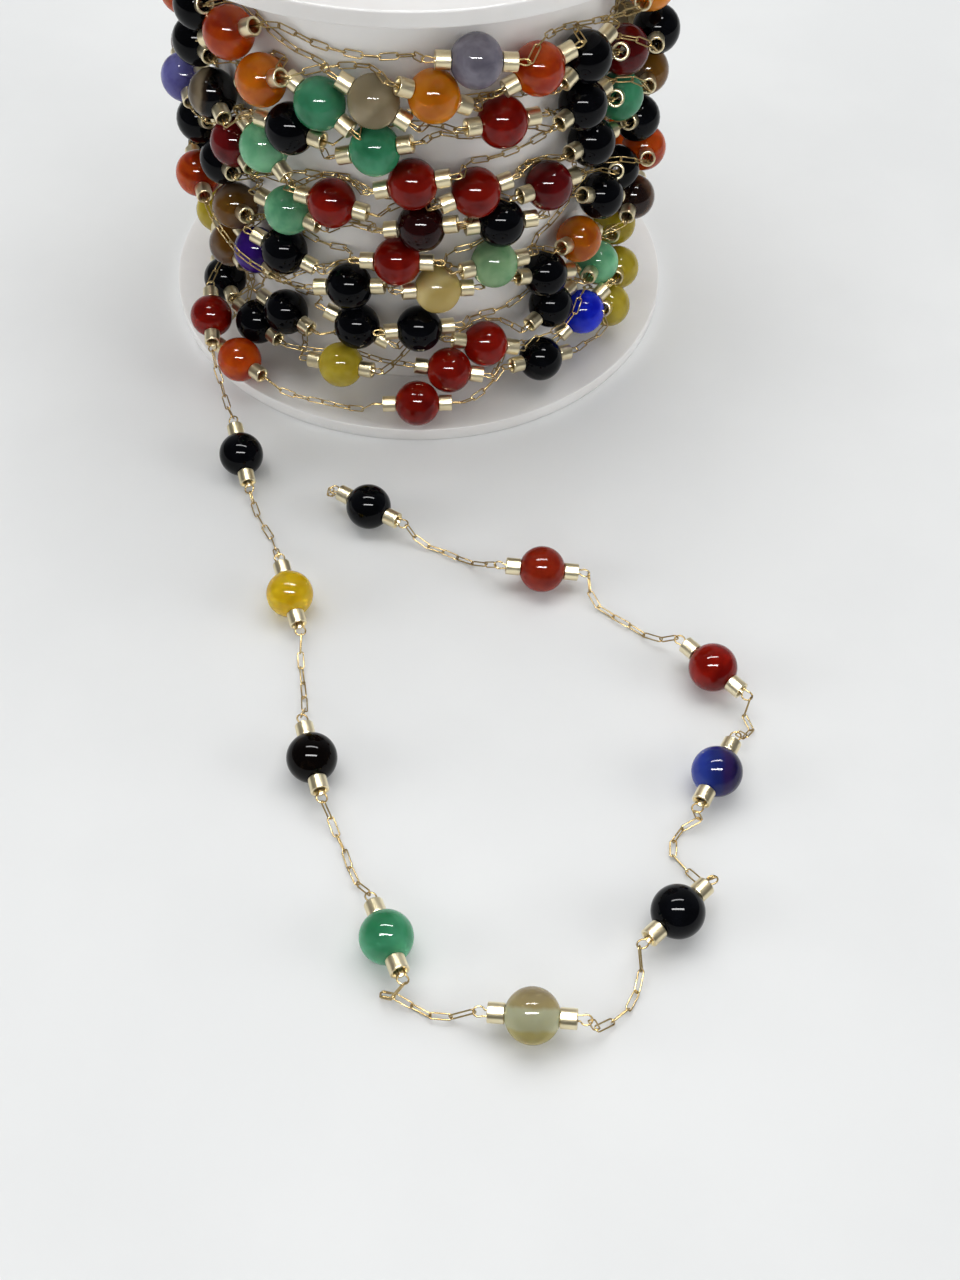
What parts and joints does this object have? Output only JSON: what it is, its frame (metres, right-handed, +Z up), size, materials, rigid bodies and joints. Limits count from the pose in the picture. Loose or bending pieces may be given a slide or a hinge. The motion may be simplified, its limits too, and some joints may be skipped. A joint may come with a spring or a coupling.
{
  "type": "beaded necklace chain on a spool",
  "caption": "Gemstone bead station chain for necklaces, wound on a white plastic spool with two flanges, its free end lying in an open loop in front.",
  "frame": {"origin": "on the floor, under the middle of the whole object's bounding box; the spool's axis stands 3.6 mm towards -X and 44.2 mm towards +Y from it", "axes": "+Z up along the spool's axis, +Y from the free end towards the spool, +X to the right as seen from the free end"},
  "size_m": [0.0824, 0.1636, 0.0636],
  "materials": {
    "white_plastic": "white, slightly translucent, satin",
    "gold_plating": "pale gold plating, polished",
    "wound_stones": "polished beads of many colours",
    "onyx": "polished black",
    "honey": "polished, translucent honey yellow",
    "green_onyx": "polished, translucent green",
    "moss_agate": "polished, pale grey green with yellow-brown bands",
    "cobalt": "polished cobalt blue",
    "garnet": "polished dark red",
    "red_agate": "polished, translucent red",
    "dark_carnelian": "polished red brown"
  },
  "bodies": {
    "root": {"spool_lower_flange": "white_plastic", "spool_core": "white_plastic", "spool_upper_flange": "white_plastic", "wound_strand": "wound_stones", "stone_00": "red_agate", "stone_01": "onyx", "stone_02": "honey", "stone_03": "onyx", "stone_04": "green_onyx", "stone_05": "moss_agate", "stone_06": "onyx", "stone_07": "cobalt", "stone_08": "garnet", "stone_09": "dark_carnelian", "stone_10": "onyx", "eye_pin_00": "gold_plating", "eye_pin_01": "gold_plating", "eye_pin_02": "gold_plating", "eye_pin_03": "gold_plating", "eye_pin_04": "gold_plating", "eye_pin_05": "gold_plating", "eye_pin_06": "gold_plating", "eye_pin_07": "gold_plating", "eye_pin_08": "gold_plating", "eye_pin_09": "gold_plating", "eye_pin_10": "gold_plating", "sleeve_00a": "gold_plating", "sleeve_00b": "gold_plating", "sleeve_01a": "gold_plating", "sleeve_01b": "gold_plating", "sleeve_02a": "gold_plating", "sleeve_02b": "gold_plating", "sleeve_03a": "gold_plating", "sleeve_03b": "gold_plating", "sleeve_04a": "gold_plating", "sleeve_04b": "gold_plating", "sleeve_05a": "gold_plating", "sleeve_05b": "gold_plating", "sleeve_06a": "gold_plating", "sleeve_06b": "gold_plating", "sleeve_07a": "gold_plating", "sleeve_07b": "gold_plating", "sleeve_08a": "gold_plating", "sleeve_08b": "gold_plating", "sleeve_09a": "gold_plating", "sleeve_09b": "gold_plating", "sleeve_10a": "gold_plating", "sleeve_10b": "gold_plating", "chain_00": "gold_plating", "chain_01": "gold_plating", "chain_02": "gold_plating", "chain_03": "gold_plating", "chain_04": "gold_plating", "chain_05": "gold_plating", "chain_06": "gold_plating", "chain_07": "gold_plating", "chain_08": "gold_plating", "chain_09": "gold_plating"}
  },
  "joints": []
}
